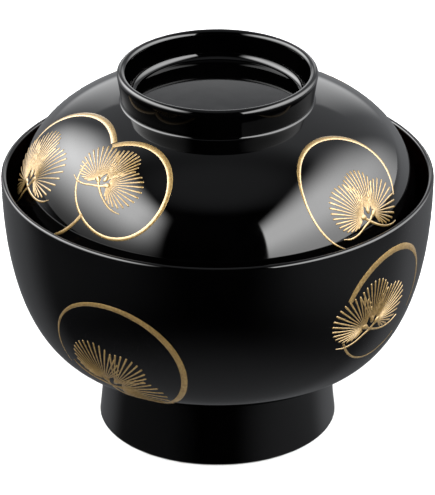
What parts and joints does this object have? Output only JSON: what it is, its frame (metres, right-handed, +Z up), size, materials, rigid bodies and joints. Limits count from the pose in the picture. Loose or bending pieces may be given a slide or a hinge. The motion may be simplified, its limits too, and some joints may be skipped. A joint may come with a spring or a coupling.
{
  "type": "lidded rice bowl",
  "caption": "Deep round lacquered bowl on a tall foot ring, with a lift-off domed lid that sits inside its mouth and has a hollow grip ring on top.",
  "frame": {"origin": "centre of the foot ring's bottom face, on the surface the bowl stands on", "axes": "+Z up, along the axis that the bowl and its lid are turned around; +Y away from the viewer, +X to the viewer's right"},
  "size_m": [0.12, 0.12, 0.1059],
  "materials": {
    "black_lacquer": "deep black lacquer, polished to a mirror gloss",
    "gold_decoration": "sprinkled gold powder in thin raised brush lines"
  },
  "bodies": {
    "bowl": {"bowl": "black_lacquer"},
    "lid": {"lid": "black_lacquer"}
  },
  "joints": [
    {"name": "lid_lift", "type": "slide", "parent": "bowl", "child": "lid", "axis": [0, 0, 1], "range_m": [0, 0.08]}
  ]
}
